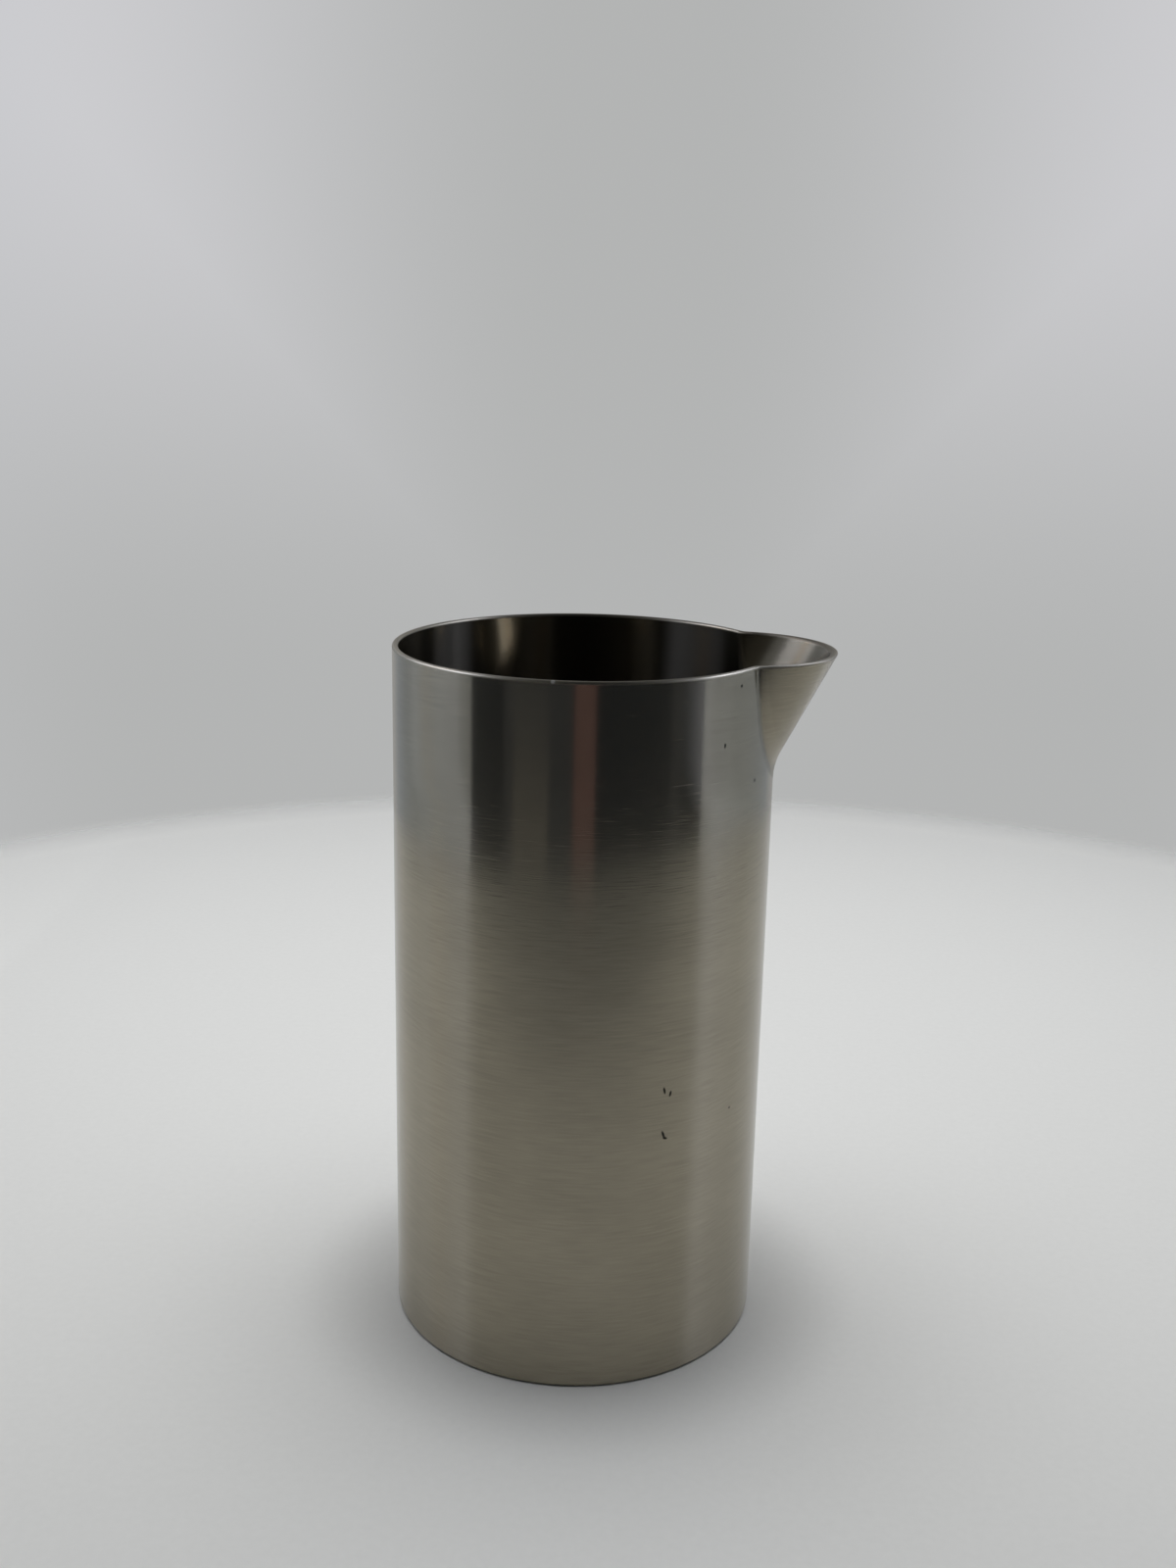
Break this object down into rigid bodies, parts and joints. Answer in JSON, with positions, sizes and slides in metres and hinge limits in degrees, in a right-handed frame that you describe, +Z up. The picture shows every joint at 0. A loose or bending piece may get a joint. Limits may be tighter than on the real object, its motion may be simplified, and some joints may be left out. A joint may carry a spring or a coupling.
{
  "type": "creamer",
  "caption": "Straight cylindrical cream jug in brushed stainless steel, open at the top, with a flat base and a short round pouring lip that leans out of the rim.",
  "frame": {"origin": "middle of the flat underside, on the tube's axis", "axes": "+Z up along the tube's axis, +X towards the pouring lip"},
  "size_m": [0.0576, 0.05, 0.0932],
  "materials": {
    "body_steel": "fine satin grain running round the tube",
    "spout_steel": "fine satin grain running round the lip",
    "spout_weld_steel": "ground and brushed to a soft hollow",
    "base_steel": "satin rolled sheet",
    "base_weld_steel": "ground fillet"
  },
  "bodies": {
    "root": {"body_tube": "body_steel", "spout": "spout_steel", "spout_weld": "spout_weld_steel", "base_disc": "base_steel", "base_weld": "base_weld_steel"}
  },
  "joints": []
}
